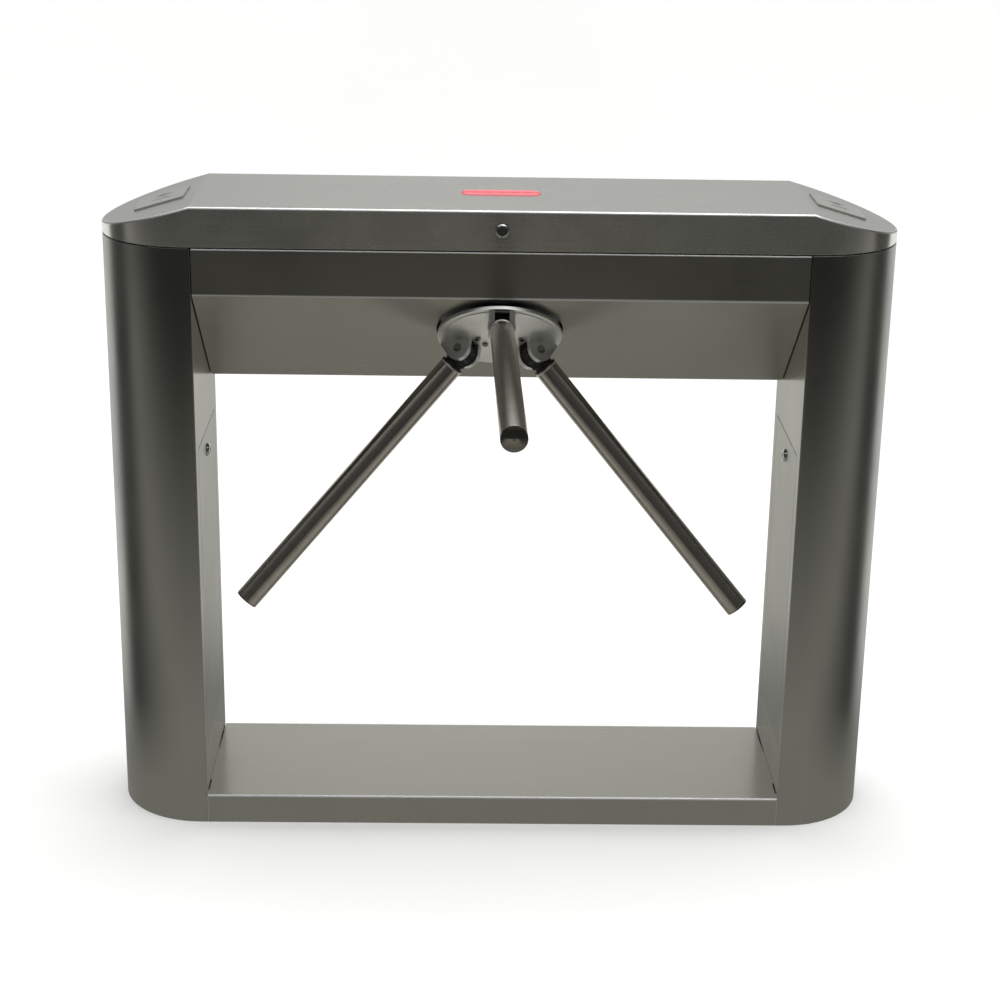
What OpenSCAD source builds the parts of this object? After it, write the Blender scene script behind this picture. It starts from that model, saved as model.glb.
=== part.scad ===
// Bridge turnstile with three drop arms, for counting visitors at an entrance.
// Origin: centre of the footprint on the floor. X along the cabinet, Y to the back, Z up.

/* [Cabinet] */
// Length over the two rounded ends
length = 1200; // [1100:10:1500]
// Depth from the front face to the back face
depth = 270; // [225:5:330]
// Height to the flat top of the lid
height = 990; // [825:5:1200]
// Thickness of the folded steel sheet
sheet = 2; // [1.5:0.5:2.5]
// Gap where two fixed panels meet
seam = 1.5; // [0.5:0.5:2]
// Straight stretch of a column between its rounded end and the passage
column_straight = 11; // [6:1:40]
// Height of the floor plinth between the columns
plinth_height = 47; // [35:1:80]
// Width of the folded flanges inside the panels
flange = 16; // [12:1:20]

/* [Beam] */
// Height of the beam below the lid, down to its underside
beam_height = 248; // [240:1:290]
// Height of the upright strip at the front of the beam
strip_height = 70; // [50:1:75]
// Depth of the flat underside behind the inclined panel
underside_depth = 60; // [40:1:70]

/* [Lid] */
// Height of the lid over its flat top
lid_height = 59; // [50:1:75]
// Drop of the sloping ends of the lid
lid_end_drop = 43; // [20:1:44]
// Thickness of the rubber seal under the lid
seal_thickness = 1.7; // [1:0.1:3]
// Running gap between pieces that move past each other
play = 0.3; // [0.2:0.1:0.5]
// Diameter of the lid's hinge pins
hinge_pin_d = 6; // [4:1:8]
// Length of a reader window across the depth
window_length = 92; // [60:1:100]
// Width of a reader window along the slope
window_width = 78; // [60:1:90]
// Length of the lit indicator
indicator_length = 120; // [80:1:160]
// Width of the lit indicator
indicator_width = 34; // [20:1:50]
// Diameter of a cam lock's head
lock_d = 21; // [18:1:26]

/* [Service doors] */
// Strip of column left on each side of a door
door_margin = 30; // [24:1:40]
// Height of a door's lower edge above the floor
door_sill = 120; // [100:5:180]
// Strip of column between the underside of the beam and a door
door_head = 68; // [50:1:100]
// Distance of a door's lock below its top edge
door_lock_drop = 33; // [28:1:60]

/* [Hub] */
// Distance of the hub axis below the top edge of the inclined panel
hub_drop = 102; // [100:1:112]
// Diameter of the hub plate
hub_plate_d = 188; // [180:1:192]
// Gap around the hub plate in the inclined panel
hub_gap = 1.5; // [1:0.5:4]
// Thickness of the hub plate
hub_plate_t = 6; // [5:1:8]
// Distance of an arm's pivot pin from the hub axis
pin_circle_r = 62; // [60:1:64]
// Height of an arm's pivot pin above the inclined panel
pin_height = 24; // [23:1:28]
// Rest turn of the hub
rotor_rest = 1.3; // [0:0.1:2]

/* [Arms] */
// Length of an arm from its pivot pin to its tip
arm_length = 508; // [400:1:560]
// Diameter of an arm's tube
arm_d = 36; // [30:1:40]
// Wall of an arm's tube
arm_wall = 2; // [1.5:0.5:3]
// Angle between an arm and the hub axis
arm_angle = 48; // [45:0.5:52]
// Diameter of a pivot pin
pin_d = 10; // [8:1:12]
// Radius of the round end of a fork's ear
ear_r = 19; // [18:1:20]
// Thickness of a fork's ear
ear_t = 8; // [6:0.5:9]

/* [Mechanism] */
// Diameter of the main shaft
shaft_d = 30; // [25:1:35]
// Outer diameter of the shaft bearings
bearing_d = 62; // [58:1:72]
// Width of a shaft bearing
bearing_w = 16; // [12:1:18]
// Thickness of the two mechanism plates
plate_t = 10; // [8:1:12]
// Radius of the index wheel
wheel_r = 62; // [58:1:66]
// Thickness of the index wheel
wheel_t = 12; // [10:1:14]

/* [Floor fixing] */
// Thickness of a foot plate
foot_t = 6; // [5:1:10]
// Distance between anchor holes along the cabinet
anchor_dx = 60; // [50:1:70]
// Distance between anchor holes across the cabinet
anchor_dy = 150; // [120:1:160]
// Diameter of an anchor hole
anchor_d = 14; // [11:1:18]
// Bore of the cable grommet
cable_bore = 38; // [25:1:45]

/* [Hidden] */
$fn = 96;

// Cabinet
end_r = depth / 2;
inner_x = length / 2 - end_r - column_straight;
front_y = -depth / 2;
back_y = depth / 2;
lid_gap = seal_thickness + play;
lid_z = height - lid_height;
body_z = lid_z - lid_gap;
strip_z = body_z - strip_height;
beam_z = body_z - beam_height;
panel_y = back_y - underside_depth;
seal_inset = 2;

// Inclined panel: its slope, and the frame of the hub on it
panel_drop = strip_z - beam_z;
panel_run = panel_y - front_y;
panel_slope = atan2(panel_drop, panel_run);
hub_tilt = 180 - panel_slope;
hub_y = front_y + hub_drop * cos(panel_slope);
hub_z = strip_z - hub_drop * sin(panel_slope);

// Lid
fold_x = inner_x;
lid_slope = atan2(lid_end_drop, length / 2 - fold_x);
window_x = (fold_x + length / 2 - 33) / 2;
window_y = 10;
window_z = height - (window_x - fold_x) * tan(lid_slope);
window_frame = 4;
window_t = 5;
window_rise = 2.5;
window_corner = 5;
glass_gap = 0.4;
lens_rise = 1.5;
hinge_y = back_y + hinge_pin_d / 2 + 3;
hinge_z = body_z + lid_gap / 2;
hinge_r = hinge_pin_d / 2 + 2.5;
hinge_x = inner_x - 90;
hinge_w = 60;
lock_z = lid_z + lid_height * 0.51;
lock_head_t = 5;
lock_body_d = lock_d - 4;
lid_lock_l = 20;
door_lock_l = 7;
lock_nut_t = 4;
key_w = 1.8;
key_h = 7.2;
lock_plug_d = 11;
cam_t = 2.5;
cam_w = 12;
lid_cam_l = 26;
door_cam_l = 42;

// Doors
door_w = depth - 2 * door_margin;
door_top = beam_z - door_head;
door_h = door_top - door_sill;
door_gap = 1.5;
door_strike_w = 50;
door_lip = 10;
door_lock_z = door_top - door_lock_drop;

// Hub stack, measured along the hub axis from the face of the inclined panel, outwards positive
hub_stand_off = 6.5;
hub_back = hub_stand_off;
hub_face = hub_back + hub_plate_t;
rim_step = 1;
rim_w = 8;
shaft_flange_t = 20.5;
shaft_flange_r = 46;
screw_circle_r = 33;
screw_turn = 21;
hub_screw_d = 6;
plate_gap = 4;
plate_front = hub_back - shaft_flange_t - plate_gap;
plate_back = plate_front - plate_t;
bearing_boss_r = bearing_d / 2 + 9;
bearing_boss_l = bearing_w + 2 - plate_t;
wheel_front = plate_back - bearing_boss_l - 12;
wheel_back = wheel_front - wheel_t;
rear_gap = 14;
rear_front = wheel_back - rear_gap - bearing_boss_l;
rear_back = rear_front - plate_t;
disc_front = rear_back - bearing_boss_l - 7;
disc_r = 34;
disc_t = 1.5;
shaft_end = disc_front - disc_t - 6;
plate_half_w = 150;
plate_up = 76;
plate_down = 116;
pillar_x = plate_half_w - 12;
pillar_up = plate_up - 12;
pillar_down = plate_down - 12;
pillar_r = 7;

// Pawls, plungers and the centring lever, in the plane of the index wheel
lever_t = 8;
lever_front = wheel_front - (wheel_t - lever_t) / 2;
pawl_pin_x = wheel_r + 16;
pawl_pin_y = -58;
pawl_w = 14;
pawl_top = 102;
tooth_clear = 2.5;
tooth_w = 10;
notch_w = tooth_w + 2 * 3.6;
notch_depth = 8;
push_y = pawl_pin_y + pawl_top - 6;
plunger_d = 10;
plunger_l = 46;
plunger_x = pawl_pin_x + pawl_w / 2 + 0.5;
solenoid_x = plunger_x + 18;
solenoid_l = 40;
solenoid_w = 30;
roller_r = 9;
roller_y = -(wheel_r + roller_r + 0.5);
lever_pin_x = 52;
lever_pin_y = roller_y;
lever_pin_d = 8;
lever_end_x = -52;
lever_w = 16;
lever_bar_t = 4;
lever_back = wheel_back - 1 - lever_bar_t;

// Arms
fork_gap = arm_d - 2 * ear_t + 2;
knuckle_play = 0.5;
knuckle_w = fork_gap - 2 * knuckle_play;
neck_r = arm_d / 2 - 5;
collar_at = ear_r + 5;
collar_t = 3;
cap_t = 4;
cap_crown = 2;
bore_play = 0.05;
arm_turns = [0, 120, -120];

// Floor and frame
rail_w = 25;
rib_w = 30;
tongue_l = 24;
tongue_w = 30;
tongue_t = 4;
rib_pitch = inner_x * 0.66;
duct_w = 130;
foot_x = inner_x + 2 * sheet + anchor_dx / 2 + 22;

// ---------- shared shapes ----------

// Plan outline of the whole cabinet, drawn inwards by a given inset
module plan(inset = 0) {
    r = end_r - inset;
    square([2 * (length / 2 - end_r), 2 * r], center = true);
    for (s = [-1, 1]) translate([s * (length / 2 - end_r), 0]) circle(r);
}

// The stretch of the plan outline that belongs to the column on one side
module column_plan(side, inset = 0) {
    far = length;
    intersection() {
        plan(inset);
        translate([side > 0 ? inner_x + inset : -inner_x - inset - far, -depth]) square([far, 2 * depth]);
    }
}

// A bar of round section along X, Y or Z
module rod_x(d, l) rotate([0, 90, 0]) cylinder(d = d, h = l);
module rod_y(d, l) rotate([-90, 0, 0]) cylinder(d = d, h = l);

// Flat bar with round ends between two points
module link(a, b, w, t) {
    dir = atan2(b[1] - a[1], b[0] - a[0]);
    span = norm(b - a);
    translate([a[0], a[1], 0]) rotate([0, 0, dir]) {
        translate([0, -w / 2, 0]) cube([span, w, t]);
        cylinder(d = w, h = t);
        translate([span, 0, 0]) cylinder(d = w, h = t);
    }
}

// Rounded rectangle, centred
module round_rect(x, y, r) {
    square([x - 2 * r, y], center = true);
    square([x, y - 2 * r], center = true);
    for (i = [-1, 1], j = [-1, 1]) translate([i * (x / 2 - r), j * (y / 2 - r)]) circle(r);
}

// The frame of the hub: X along the cabinet, Y up the inclined panel, Z out along the hub axis
module at_hub() translate([0, hub_y, hub_z]) rotate([hub_tilt, 0, 0]) children();

// The frame of one arm's fork: Y away from the hub axis
module at_fork(i) at_hub() rotate([0, 0, -rotor_rest - arm_turns[i]]) children();

// The frame of one arm: origin on its pivot pin, Z along the tube
module at_arm(i) at_fork(i) translate([0, pin_circle_r, pin_height]) rotate([-arm_angle, 0, 0]) children();

// The frame of a sloping end of the lid: Z out of the slope
module at_slope(side) {
    translate([side * window_x, window_y, window_z]) rotate([0, side * lid_slope, 0]) children();
}

// ---------- cabinet ----------

module column(side) {
    door_x = side * (inner_x + sheet / 2);
    way_up = 40;
    way_y = panel_y - way_up / tan(panel_slope) + 10;
    strike_t = door_lock_l + 1 - sheet - play;
    strike_z = door_top - door_lip + 1;
    translate([side > 0 ? inner_x + sheet : -inner_x - sheet - strike_t, -door_strike_w / 2, strike_z])
        cube([strike_t, door_strike_w, 22]);
    difference() {
        linear_extrude(body_z) column_plan(side);
        translate([0, 0, -1]) linear_extrude(body_z + 1 - sheet) column_plan(side, sheet);
        linear_extrude(body_z + 1) column_plan(side, flange);
        // door opening in the passage side
        translate([door_x, 0, door_sill + door_h / 2])
            cube([3 * sheet, door_w - 2 * door_lip, door_h - 2 * door_lip], center = true);
        // way through to the inside of the beam
        translate([door_x - 1.5 * sheet, way_y, beam_z + way_up])
            cube([3 * sheet, back_y - flange - 10 - way_y, beam_height - 2 * way_up]);
        // ways through for the chassis rails
        for (r = rail_places()) translate([door_x, r[0], r[1]])
            cube([3 * sheet, rail_w + 1, rail_w + 1], center = true);
        // the door sits in a shallow recess, flush with the column
        translate([side * inner_x, 0, door_sill + door_h / 2])
            cube([sheet, door_w + 2 * door_gap, door_h + 2 * door_gap], center = true);
    }
}

module foot(side) {
    difference() {
        linear_extrude(foot_t) column_plan(side, sheet + play);
        for (i = [-1, 1], j = [-1, 1])
            translate([side * foot_x + i * anchor_dx / 2, j * anchor_dy / 2, -1])
                cylinder(d = anchor_d, h = foot_t + 2);
        translate([side * foot_x, 0, -1]) cylinder(d = cable_bore + 8, h = foot_t + 2);
    }
}

module base_plinth() {
    l = 2 * (inner_x - seam);
    color([0.6, 0.6, 0.55]) difference() {
        translate([-l / 2, front_y, 0]) cube([l, depth, plinth_height]);
        translate([-l / 2 - 1, front_y + sheet, -1])
            cube([l + 2, depth - 2 * sheet, plinth_height + 1 - sheet]);
    }
    // tongues under the tread that bear on the columns
    color([0.6, 0.6, 0.55]) for (i = [-1, 1], j = [-1, 1])
        translate([i * (inner_x - play) - (i > 0 ? tongue_l : 0), j * depth / 3 - tongue_w / 2, plinth_height - sheet - tongue_t])
            cube([tongue_l, tongue_w, tongue_t]);
}

// Stiffeners under the tread: a foot on the floor, a cap under the tread, and a web on each side
// of the cable duct
module plinth_ribs() {
    w = depth - 2 * sheet - 2 * seam;
    h = plinth_height - sheet;
    web_w = (w - duct_w) / 2;
    color([0.35, 0.35, 0.33]) for (k = [-1, 0, 1]) translate([k * rib_pitch, 0, 0]) {
        for (z = [0, h - sheet]) translate([-rib_w / 2, -w / 2, z]) cube([rib_w, w, sheet]);
        for (y = [-w / 2, w / 2 - web_w]) translate([-sheet / 2, y, sheet])
            cube([sheet, web_w, h - 2 * sheet]);
    }
}

function rail_places() = [
    [front_y + sheet + 6 + rail_w / 2, body_z - sheet - 12 - rail_w / 2],
    [back_y - sheet - 18 - rail_w / 2, body_z - sheet - 12 - rail_w / 2]
];

// Folded sheet of the beam's front: upright strip, inclined panel and underside
module beam_cowl() {
    l = 2 * (inner_x - seam);
    tan_half_top = tan((90 - panel_slope) / 2);
    tan_half_low = tan(panel_slope / 2);
    color([0.45, 0.45, 0.42]) difference() {
        translate([-l / 2, 0, 0]) rotate([90, 0, 90]) linear_extrude(l) polygon([
            [front_y, body_z],
            [front_y, strip_z],
            [panel_y, beam_z],
            [back_y - sheet - play, beam_z],
            [back_y - sheet - play, beam_z + flange],
            [back_y - 2 * sheet - play, beam_z + flange],
            [back_y - 2 * sheet - play, beam_z + sheet],
            [panel_y + sheet * tan_half_low, beam_z + sheet],
            [front_y + sheet, strip_z + sheet * tan_half_top],
            [front_y + sheet, body_z - sheet],
            [front_y + flange, body_z - sheet],
            [front_y + flange, body_z]
        ]);
        at_hub() translate([0, 0, -sheet - 1]) cylinder(r = hub_plate_d / 2 + hub_gap, h = sheet + 2);
    }
}

module rear_cover() {
    l = 2 * (inner_x - seam);
    color([0.5, 0.5, 0.47]) {
        translate([-l / 2, back_y - sheet, beam_z]) cube([l, sheet, beam_height]);
        translate([-l / 2, back_y - flange, body_z - sheet]) cube([l, flange, sheet]);
    }
}

module chassis_rails() {
    l = 2 * (inner_x + 30);
    color("dimgray") for (r = rail_places()) difference() {
        translate([-l / 2, r[0] - rail_w / 2, r[1] - rail_w / 2]) cube([l, rail_w, rail_w]);
        translate([-l / 2 - 1, r[0] - rail_w / 2 + 2, r[1] - rail_w / 2 + 2])
            cube([l + 2, rail_w - 4, rail_w - 4]);
    }
}

module lid_seal() {
    color([0.08, 0.08, 0.08]) translate([0, 0, body_z]) linear_extrude(seal_thickness) difference() {
        plan(seal_inset);
        plan(seal_inset + 8);
    }
}

module cable_grommet() {
    groove = foot_t + 2 * play;
    color([0.1, 0.1, 0.1]) translate([-foot_x, 0, 0]) difference() {
        union() {
            translate([0, 0, play]) cylinder(d = cable_bore + 8 - 2 * play, h = foot_t + 5);
            translate([0, 0, foot_t]) cylinder(d = cable_bore + 16, h = 5);
        }
        translate([0, 0, -1]) cylinder(d = cable_bore, h = groove + 10);
    }
}

// ---------- lid ----------

module lid_body(inset, top) {
    drop_at = (length / 2 - fold_x) + inset;
    intersection() {
        translate([0, 0, lid_z - 1]) linear_extrude(lid_height + 1) plan(inset);
        rotate([90, 0, 0]) linear_extrude(2 * depth, center = true) polygon([
            [-fold_x - drop_at, lid_z - 1], [-fold_x - drop_at, top - drop_at * tan(lid_slope)],
            [-fold_x, top], [fold_x, top],
            [fold_x + drop_at, top - drop_at * tan(lid_slope)], [fold_x + drop_at, lid_z - 1]
        ]);
    }
}

module lid() {
    color([0.66, 0.66, 0.62]) difference() {
        lid_body(0, height);
        lid_body(sheet, height - sheet);
        translate([0, 0, lid_z - 2]) linear_extrude(2) plan(-1);
        for (s = [-1, 1]) at_slope(s) translate([0, 0, -15]) linear_extrude(30)
            round_rect(window_width, window_length, window_corner);
        translate([0, 0, height - 10]) linear_extrude(20) indicator_plan(0);
        translate([0, front_y - 1, lock_z]) rod_y(lock_body_d + 2 * glass_gap, sheet + 2);
    }
}

module indicator_plan(inset) {
    r = indicator_width / 2;
    square([indicator_length - 2 * r, 2 * (r - inset)], center = true);
    for (s = [-1, 1]) translate([s * (indicator_length / 2 - r), 0]) circle(r - inset);
}

module window(side) {
    foot = -sheet - glass_gap;
    color([0.15, 0.15, 0.16]) at_slope(side) {
        translate([0, 0, foot - 0.1]) linear_extrude(window_rise - foot + 0.1)
            round_rect(window_width - 2 * glass_gap, window_length - 2 * glass_gap, window_corner - glass_gap);
        translate([0, 0, foot - window_t / 2]) linear_extrude(window_t / 2)
            round_rect(window_width + 2 * window_frame, window_length + 2 * window_frame, window_corner);
    }
}

module reader_boards() {
    top = -sheet - glass_gap - window_t / 2 - 6;
    color([0.1, 0.35, 0.2]) for (s = [-1, 1]) at_slope(s) {
        translate([-window_width / 2 + 6, -window_length / 2 + 6, top])
            cube([window_width - 12, window_length - 12, 1.6]);
        for (i = [-1, 1], j = [-1, 1])
            translate([i * (window_width / 2 - 12), j * (window_length / 2 - 12), top + 1.6])
            cylinder(d = 6, h = 6 - 1.6);
        translate([-12, -12, top - 3]) cube([24, 24, 3]);
    }
}

module indicator_lens() {
    z = height - 2 * sheet - glass_gap;
    color([0.9, 0.1, 0.1]) translate([0, 0, z]) {
        linear_extrude(height - z + lens_rise) indicator_plan(glass_gap);
        linear_extrude(sheet) indicator_plan(-3);
    }
}

module indicator_board() {
    z = height - 2 * sheet - glass_gap - 6;
    n = floor(indicator_length / 11);
    color([0.1, 0.3, 0.15]) {
        translate([-indicator_length / 2, -indicator_width / 2, z])
            cube([indicator_length, indicator_width, 1.6]);
        for (i = [0 : n - 1]) translate([(i - (n - 1) / 2) * 10, 0, z + 1.6]) cylinder(d = 5, h = 2.5);
        for (i = [-1, 1]) translate([i * (indicator_length / 2 - 4), 0, z + 1.6])
            cylinder(d = 5, h = 6 - 1.6);
    }
}

// Fixed part of a cam lock, its axis along Z and its head outwards
module lock_body(body_l, grip) {
    difference() {
        union() {
            cylinder(d = lock_d, h = lock_head_t);
            translate([0, 0, -body_l]) cylinder(d = lock_body_d, h = body_l);
            translate([0, 0, -grip - play - lock_nut_t]) cylinder(d = lock_d + 3, h = lock_nut_t, $fn = 6);
        }
        translate([0, 0, -body_l - 1])
            cylinder(d = lock_plug_d + 2 * bore_play, h = body_l + lock_head_t + 2);
    }
}

// Turning part of a cam lock: plug with a key slot, and its cam pointing along +Y
module lock_plug(body_l, cam_l) {
    difference() {
        translate([0, 0, -body_l - 1]) cylinder(d = lock_plug_d, h = body_l + lock_head_t + 0.5);
        translate([-key_w / 2, -key_h / 2, lock_head_t - 5]) cube([key_w, key_h, 10]);
    }
    translate([0, 0, -body_l - 1 - cam_t]) {
        cylinder(d = cam_w + 2, h = cam_t);
        translate([-cam_w / 2, 0, 0]) cube([cam_w, cam_l, cam_t]);
    }
    translate([0, 0, -body_l - 4 - cam_t]) cylinder(d = 9, h = 3 + cam_t, $fn = 6);
}

// The frame of the lid's lock: Z out of the front, Y down
module at_lid_lock() translate([0, front_y, lock_z]) rotate([90, 0, 0]) rotate([0, 0, 180]) children();

module lid_lock_body() color("silver") at_lid_lock() lock_body(lid_lock_l, sheet);
module lid_lock_plug() color("gainsboro") at_lid_lock() lock_plug(lid_lock_l, lid_cam_l);

// Bent strap beside the lock, standing on the front rail: its lip holds the turned cam down
module lid_catch() {
    cam_y = front_y + lid_lock_l + 1;
    y0 = cam_y - 3;
    w = 14;
    rail_top = rail_places()[0][1] + rail_w / 2;
    post_x = lid_cam_l + 3;
    lip_x = lock_d / 2 + 5;
    lip_z = lock_z + cam_w / 2 + play;
    color("gray") {
        translate([post_x, y0, rail_top]) cube([sheet, w, lip_z + sheet - rail_top]);
        translate([lip_x, y0, lip_z]) cube([post_x + sheet - lip_x, w, sheet]);
        translate([post_x, y0, rail_top]) cube([20, w, sheet]);
    }
}

module hinge_knuckle(x, l) translate([x, hinge_y, hinge_z]) difference() {
    rod_x(2 * hinge_r, l);
    translate([-1, 0, 0]) rod_x(hinge_pin_d + 2 * bore_play, l + 2);
}

module lid_hinge_brackets() {
    third = hinge_w / 3;
    leaf_h = 34;
    color("silver") for (s = [-1, 1]) {
        x = s * hinge_x - hinge_w / 2;
        for (k = [0, 2]) hinge_knuckle(x + k * third + (k == 0 ? 0 : play), third - play);
        for (k = [0, 2]) translate([x + k * third + (k == 0 ? 0 : play), back_y, hinge_z - hinge_r - 2])
            difference() {
                cube([third - play, hinge_y - back_y, hinge_r + 2]);
                translate([-1, hinge_y - back_y, hinge_r + 2]) rod_x(2 * hinge_r - 2, third + 2);
            }
        translate([x, back_y, hinge_z - hinge_r - 2 - leaf_h]) cube([hinge_w, sheet, leaf_h]);
    }
}

module lid_hinge_knuckles() {
    third = hinge_w / 3;
    leaf_h = 26;
    color("silver") for (s = [-1, 1]) {
        x = s * hinge_x - hinge_w / 2;
        hinge_knuckle(x + third + play / 2, third - play / 2);
        translate([x + third + play / 2, back_y, hinge_z]) difference() {
            cube([third - play / 2, hinge_y - back_y, hinge_r + 2]);
            translate([-1, hinge_y - back_y, 0]) rod_x(2 * hinge_r - 2, third + 2);
        }
        translate([x, back_y, hinge_z + hinge_r + 2]) cube([hinge_w, sheet, leaf_h]);
    }
}

module lid_hinge_pins() {
    color("gray") for (s = [-1, 1]) translate([s * hinge_x - hinge_w / 2 - 2, hinge_y, hinge_z]) {
        rod_x(hinge_pin_d, hinge_w + 4);
        translate([-2, 0, 0]) rod_x(hinge_pin_d + 3, 2);
    }
}

// ---------- service doors ----------

// The frame of a door: origin at the middle of its outer face's lower edge, X out into the passage.
// The lower edge is fully rounded, and the door tilts about the middle of that rounding.
module at_door(side) translate([side * inner_x, 0, door_sill]) scale([-side, 1, 1]) children();

module door(side) {
    skin = sheet / 2;
    tab_w = 30;
    color([0.63, 0.63, 0.6]) at_door(side) difference() {
        union() {
            translate([-skin, -door_w / 2, skin / 2]) cube([skin, door_w, door_h - skin / 2]);
            translate([-skin / 2, -door_w / 2, skin / 2]) rod_y(skin, door_w);
            for (j = [-1, 1]) translate([-skin - 12, j * (door_w / 2 - door_lip - 6) - 1, door_lip + 6])
                cube([12, 2, door_h - 2 * door_lip - 12]);
            // lower tabs that hook behind the sill
            for (j = [-1, 1]) translate([-skin - sheet - 3, j * door_w / 4 - tab_w / 2, door_lip + 1]) cube([sheet + 3, tab_w, 2]);
        }
        translate([-sheet - 1, 0, door_lock_z - door_sill]) rod_x(lock_body_d + 2 * glass_gap, sheet + 2);
    }
}

// The frame of a door's lock: Z out into the passage, Y up
module at_door_lock(side) {
    translate([side * inner_x, 0, door_lock_z]) rotate([90, 0, -side * 90]) children();
}

module door_lock_body(side) color("silver") at_door_lock(side) lock_body(door_lock_l, sheet / 2);

// The cam rests pointing sideways, and turns up behind the column's strike
module door_lock_plug(side) {
    color("gainsboro") at_door_lock(side) rotate([0, 0, 90]) lock_plug(door_lock_l, door_cam_l);
}

// ---------- hub and arms ----------

// One ear of a fork: round at the pin, wider where it stands on the plate
module ear() {
    foot_in = pin_circle_r - ear_r - 1;
    foot_out = hub_plate_d / 2 - 2;
    c = [pin_circle_r, pin_height];
    a_in = tangent_angle(c, [foot_in, hub_face - 1], ear_r, 1);
    a_out = tangent_angle(c, [foot_out, hub_face - 1], ear_r, -1);
    rotate([90, 0, 90]) linear_extrude(ear_t) difference() {
        union() {
            translate(c) circle(ear_r);
            polygon([
                [foot_in, hub_face - 1], c + ear_r * [cos(a_in), sin(a_in)], c,
                c + ear_r * [cos(a_out), sin(a_out)], [foot_out, hub_face - 1]
            ]);
        }
        translate(c) circle(d = pin_d + 2 * bore_play);
    }
}

// Direction, seen from a circle's centre, of the tangent point of the line from p
function tangent_angle(c, p, r, turn) =
    atan2(p[1] - c[1], p[0] - c[0]) - turn * acos(r / norm(p - c));

module hub_plate() {
    color([0.6, 0.6, 0.57]) difference() {
        union() {
            at_hub() translate([0, 0, hub_back]) cylinder(r = hub_plate_d / 2, h = hub_plate_t - rim_step);
            at_hub() translate([0, 0, hub_back]) cylinder(r = hub_plate_d / 2 - rim_w, h = hub_plate_t);
            for (i = [0 : 2], s = [-1, 1]) at_fork(i)
                translate([s * (fork_gap + ear_t) / 2 - ear_t / 2, 0, 0]) ear();
        }
        for (i = [0 : 2], s = [-1, 1]) at_fork(i) rotate([0, 0, s * screw_turn])
            translate([0, screw_circle_r, hub_back - 1])
                cylinder(d = hub_screw_d + 2 * bore_play, h = hub_plate_t + 2);
        // slots that let the arms' tongues turn
        for (i = [0 : 2]) at_fork(i) translate([-fork_gap / 2, pin_circle_r - ear_r, hub_back - 1])
            cube([fork_gap, 2 * ear_r, hub_plate_t + 2]);
    }
}

module hub_screws() {
    color("gray") for (i = [0 : 2], s = [-1, 1]) at_fork(i) rotate([0, 0, s * screw_turn])
        translate([0, screw_circle_r, 0]) difference() {
            union() {
                translate([0, 0, hub_back - shaft_flange_t])
                    cylinder(d = hub_screw_d, h = hub_plate_t + shaft_flange_t);
                translate([0, 0, hub_face]) cylinder(d = hub_screw_d + 3, h = 2.5);
            }
            translate([0, 0, hub_face + 1]) cylinder(d = 4, h = 4, $fn = 6);
        }
}

module main_shaft() {
    color("darkgray") difference() {
        at_hub() union() {
            translate([0, 0, shaft_end]) cylinder(d = shaft_d, h = hub_back - shaft_end);
            translate([0, 0, hub_back - shaft_flange_t]) cylinder(r = shaft_flange_r, h = shaft_flange_t);
        }
        for (i = [0 : 2], s = [-1, 1]) at_fork(i) rotate([0, 0, s * screw_turn])
            translate([0, screw_circle_r, hub_back - shaft_flange_t - 1])
                cylinder(d = hub_screw_d + 2 * bore_play, h = shaft_flange_t + 2);
    }
}

module arm_pins() {
    color("silver") for (i = [0 : 2]) at_fork(i) {
        half = fork_gap / 2 + ear_t;
        translate([-half - 1.5, pin_circle_r, pin_height]) {
            translate([1.5, 0, 0]) rod_x(pin_d, 2 * half);
            rod_x(pin_d + 3, 1.5 - play);
            translate([2 * half + 1.5 + play, 0, 0]) rod_x(pin_d + 3, 1.5);
        }
    }
}

// Root of an arm: flat tongue in the fork, neck, and the spigot inside the tube
module arm_knuckle(i) {
    spigot_r = arm_d / 2 - arm_wall - play;
    color([0.12, 0.12, 0.12]) at_arm(i) difference() {
        union() {
            translate([-knuckle_w / 2, 0, 0]) rod_x(2 * (ear_r - 2), knuckle_w);
            translate([-knuckle_w / 2, -neck_r, 0]) cube([knuckle_w, 2 * neck_r, ear_r + 1]);
            translate([0, 0, ear_r + 1]) cylinder(r = neck_r + 2, h = collar_at - ear_r - 1);
            translate([0, 0, collar_at]) cylinder(r = arm_d / 2 + 0.5, h = collar_t);
            translate([0, 0, collar_at + collar_t]) cylinder(r = spigot_r, h = 30);
        }
        translate([-knuckle_w, 0, 0]) rod_x(pin_d + 2 * bore_play, 2 * knuckle_w);
    }
}

module arm_tube(i) {
    start = collar_at + collar_t;
    l = arm_length - cap_t - start;
    color([0.5, 0.5, 0.48]) at_arm(i) translate([0, 0, start]) difference() {
        cylinder(d = arm_d, h = l);
        translate([0, 0, -1]) cylinder(r = arm_d / 2 - arm_wall, h = l + 2);
    }
}

// End cap, slightly crowned, with a spigot inside the tube
module arm_cap(i) {
    dome_r = (pow(arm_d / 2, 2) + cap_crown * cap_crown) / (2 * cap_crown);
    spigot_r = arm_d / 2 - arm_wall - play;
    color([0.55, 0.55, 0.53]) at_arm(i) translate([0, 0, arm_length - cap_t]) {
        intersection() {
            cylinder(d = arm_d, h = cap_t);
            translate([0, 0, cap_t - dome_r]) sphere(dome_r);
        }
        translate([0, 0, -15]) cylinder(r = spigot_r, h = 15.5);
    }
}

// ---------- mechanism behind the panel ----------

module mechanism_plate(z) {
    difference() {
        union() {
            translate([-plate_half_w, -plate_down, z])
                cube([2 * plate_half_w, plate_up + plate_down, plate_t]);
            translate([0, 0, z - bearing_boss_l]) cylinder(r = bearing_boss_r, h = bearing_boss_l + 1);
        }
        translate([0, 0, z - bearing_boss_l - 1]) cylinder(d = bearing_d, h = plate_t + bearing_boss_l + 2);
        lever_pin_holes(z);
    }
}

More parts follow.
